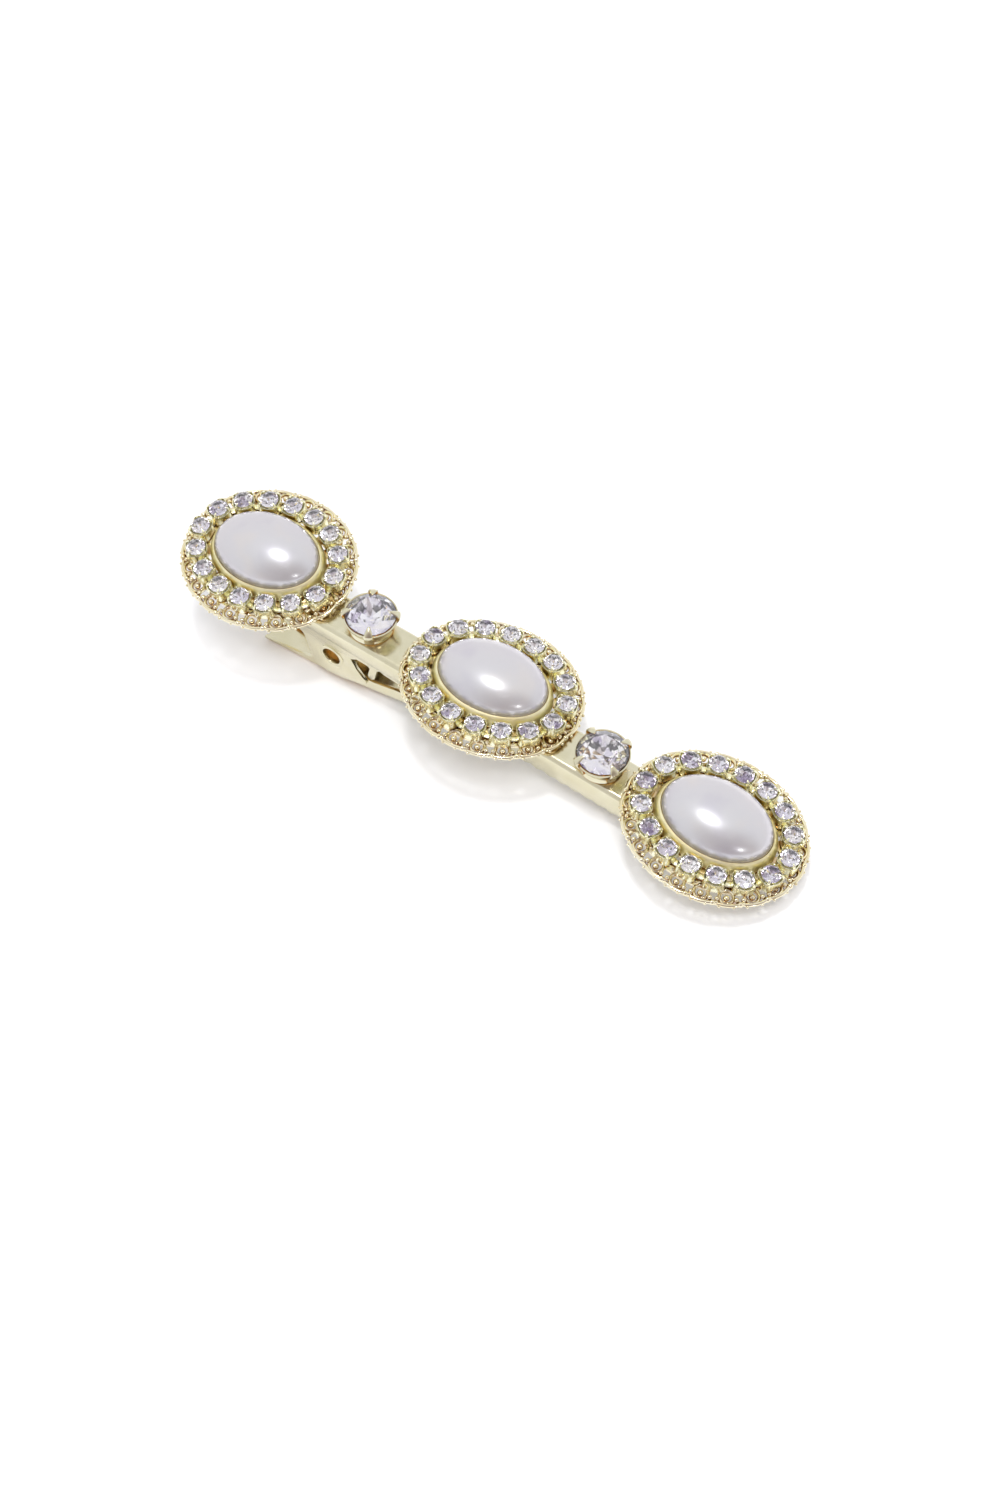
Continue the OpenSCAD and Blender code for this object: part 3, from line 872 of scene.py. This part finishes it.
def solder_blob(name, place):
    """Solder drawn up between the arm and the filigree, with a waist and a rough edge."""
    node = f"solder_pad_{name}"
    low, high = local_box(node, place)
    centre, radius = (low + high) / 2, (high.x - low.x) / 2
    steps, rows = 48, 6
    bm, rings = bmesh.new(), []
    for i in range(rows + 1):
        s = i / rows
        waist = 1 - 0.28 * math.sin(math.pi * s)
        points = []
        for k in range(steps):
            t = 2 * math.pi * k / steps
            r = radius * waist * (0.95 + 0.05 * math.sin(3 * t + s) * math.cos(2 * t))
            points.append(centre + on_oval(r, r, t, (s - 0.5) * (high.z - low.z)))
        rings.append(points)
    loft(bm, rings)
    piece(f"solder_{name}", bm, [SOLDER], UPPER, [node], 60, place)


for name in ORNAMENTS:
    place = flat_frame(f"pearl_tray_{name}")
    _, tray_top = local_box(f"pearl_tray_{name}", place)
    filigree(name, place)
    solder_blob(name, place)
    bezel(name, place)
    pearl_dome(name, place, tray_top.z)
    cup_row(name, place, 0.0)


# ---------------------------------------------------------------- claw-set large stones


CLAW_WIDTH, CLAW_DEPTH = 0.62 * MM, 0.17 * MM  # half sizes of its section
CLAW_TAPER = np.array([1, 1, 1.02, 1.0, 0.92, 0.78, 0.6, 0.42, 0.24])
STONE_TURN = math.radians(14)  # from a claw to a corner of the stone's table


def claw_turn(node, place):
    """Direction of a setting's first claw, from the four-fold pattern of its farthest points."""
    points = local_points(node, place)
    reach = np.hypot(points[:, 0], points[:, 1])
    far = points[reach > reach.max() * 0.995]
    return np.angle(np.exp(4j * np.arctan2(far[:, 1], far[:, 0])).sum()) / 4


def claw_setting(name):
    """A turned collet with four bent claws, and the large stone in it."""
    node, stone_node = f"claw_setting_{name}", f"chaton_{name}"
    place = flat_frame(node)
    centre, stone = gem_sizes(local_points(stone_node, place))
    first = claw_turn(node, place)
    r, seat = stone["radius"], centre.z
    foot = [
        (0.72 * r, 0), (0.86 * r, 0.02 * MM), (0.88 * r, 0.12 * MM), (0.86 * r, 0.3 * MM),
        (0.82 * r, 0.5 * MM), (0.84 * r, 0.9 * MM), (0.92 * r, 1.5 * MM),
    ]
    mouth = [
        (1.02 * r, seat - 0.35 * MM), (1.08 * r, seat - 0.1 * MM), (1.08 * r, seat), (1.03 * r, seat),
        (1.0 * r, seat - 0.12 * MM), (0.85 * r, seat - 0.5 * MM), (0.3 * r, 0.6 * MM),
    ]
    bm = bmesh.new()
    turned(bm, foot + mouth, 72)
    top = seat + stone["girdle"]
    for quarter in range(4):
        a = first + quarter * math.pi / 2
        out, across = on_oval(1, 1, a), on_oval(1, 1, a + math.pi / 2)
        line = [
            (0.86 * r, 0.3 * MM), (0.88 * r, 0.9 * MM), (1.0 * r, 1.7 * MM),
            (1.11 * r, seat - 0.1 * MM), (1.12 * r, top + 0.12 * MM), (1.04 * r, top + 0.36 * MM),
            (0.94 * r, top + 0.5 * MM), (0.86 * r, top + 0.62 * MM), (0.8 * r, top + 0.7 * MM),
        ]
        path = [out * distance + Z_AXIS * z for distance, z in line]
        widths, depths = CLAW_WIDTH * CLAW_TAPER, CLAW_DEPTH * CLAW_TAPER ** 0.35
        tube(bm, path, widths, depths, across, sides=12)
    piece(f"stone_setting_{name}", bm, [GOLD], UPPER, [node], 45, place)
    gem = bmesh.new()
    add_gem(gem, centre, first + STONE_TURN, stone)
    piece(f"large_stone_{name}", gem, [GLASS, FOIL], UPPER, [stone_node], 1, place)


for name in LARGE_STONES:
    claw_setting(name)


# ---------------------------------------------------------------- floor, light and camera


def direction(azimuth, elevation):
    """The unit vector toward an azimuth and an elevation, in degrees."""
    a, e = math.radians(azimuth), math.radians(elevation)
    return Vector((math.sin(a) * math.cos(e), -math.cos(a) * math.cos(e), math.sin(e)))


FLOOR_HALF = 6.0
FLOOR_GAP = 0.02 * MM  # from the floor to the clip's lowest face
# Angles in degrees: the azimuth runs round from -Y toward +X.
CAMERA = {
    "azimuth": 41.52, "elevation": 52.75, "roll": -8.28, "distance": 336.0 * MM,
    "lens": 67.66, "sensor": 36, "shift": (0.0113, -0.0359),
}
LOOK_AT = Vector((0, -0.85, 8.63)) * MM  # the middle of the upper arm's top
DARK_AREA = direction(CAMERA["azimuth"] + 6, CAMERA["elevation"] - 26)  # its middle, in the sky


def pale_floor():
    """A wide white table top just below the clip, lit a little from within like backlit paper."""
    bm = bmesh.new()
    corners = [(-1, -1), (1, -1), (1, 1), (-1, 1)]
    bm.faces.new([bm.verts.new((x * FLOOR_HALF, y * FLOOR_HALF, -FLOOR_GAP)) for x, y in corners])
    material, tree, shader = new_material("white_table")
    tone = ramp(tree, noise(tree, 40 * MM), (0.3, (0.91, 0.925, 0.95)), (0.7, (0.93, 0.94, 0.96)))
    tree.links.new(tone, shader.inputs["Base Color"])
    shader.inputs["Roughness"].default_value = 0.7
    shader.inputs["Specular IOR Level"].default_value = 0.1
    shader.inputs["Emission Color"].default_value = (0.92, 0.95, 1.0, 1)
    shader.inputs["Emission Strength"].default_value = 0.05
    mesh = bpy.data.meshes.new("table")
    bm.to_mesh(mesh)
    bm.free()
    mesh.materials.append(material)
    floor = bpy.data.objects.new("table", mesh)
    bpy.context.scene.collection.objects.link(floor)


def studio_sky():
    """A white studio all round, with a soft dark area on the side that the photographer stands on."""
    world = bpy.data.worlds.new("studio")
    bpy.context.scene.world = world
    world.use_nodes = True
    tree = world.node_tree
    nodes, links = tree.nodes, tree.links
    space = nodes.new("ShaderNodeTexCoord")
    facing = nodes.new("ShaderNodeVectorMath")
    facing.operation = "DOT_PRODUCT"
    facing.inputs[1].default_value = DARK_AREA
    links.new(space.outputs["Generated"], facing.inputs[0])
    tone = ramp(
        tree, facing.outputs["Value"],
        (0.0, (0.95, 0.955, 0.975)), (0.52, (0.90, 0.90, 0.93)),
        (0.80, (0.53, 0.475, 0.48)), (1.0, (0.32, 0.26, 0.27)),
    )
    links.new(tone, nodes["Background"].inputs["Color"])
    nodes["Background"].inputs["Strength"].default_value = 1.0


def softbox(name, azimuth, elevation, distance, size, power):
    """A round lamp that faces the clip."""
    light = bpy.data.lights.new(name, "AREA")
    light.shape, light.size, light.energy = "DISK", size, power
    obj = bpy.data.objects.new(name, light)
    bpy.context.scene.collection.objects.link(obj)
    toward = direction(azimuth, elevation)
    obj.location = LOOK_AT + toward * distance
    obj.rotation_mode = "QUATERNION"
    obj.rotation_quaternion = toward.to_track_quat("Z", "Y")
    return obj


def photo_camera():
    """The camera at the photograph's viewing angle."""
    camera = bpy.data.cameras.new("camera")
    camera.lens, camera.sensor_width = CAMERA["lens"], CAMERA["sensor"]
    camera.shift_x, camera.shift_y = CAMERA["shift"]
    obj = bpy.data.objects.new("camera", camera)
    bpy.context.scene.collection.objects.link(obj)
    back = direction(CAMERA["azimuth"], CAMERA["elevation"])
    level = direction(CAMERA["azimuth"] + 90, 0)
    upright = back.cross(level)
    roll = math.radians(CAMERA["roll"])
    right = level * math.cos(roll) + upright * math.sin(roll)
    turned_frame = Matrix((right, back.cross(right), back)).transposed().to_4x4()
    obj.matrix_world = Matrix.Translation(LOOK_AT + back * CAMERA["distance"]) @ turned_frame
    camera.clip_start, camera.clip_end = 10 * MM, 10.0
    bpy.context.scene.camera = obj


pale_floor()
studio_sky()
softbox("overhead", azimuth=60, elevation=88, distance=0.9, size=0.12, power=1.9)
softbox("fill", azimuth=62, elevation=22, distance=0.5, size=0.03, power=0.09)
front = softbox("front", azimuth=50, elevation=64, distance=0.9, size=0.3, power=2.9)
front.visible_glossy = False  # it lights and shades, but isn't mirrored in the metal
photo_camera()
bpy.context.scene.view_settings.view_transform = "Standard"
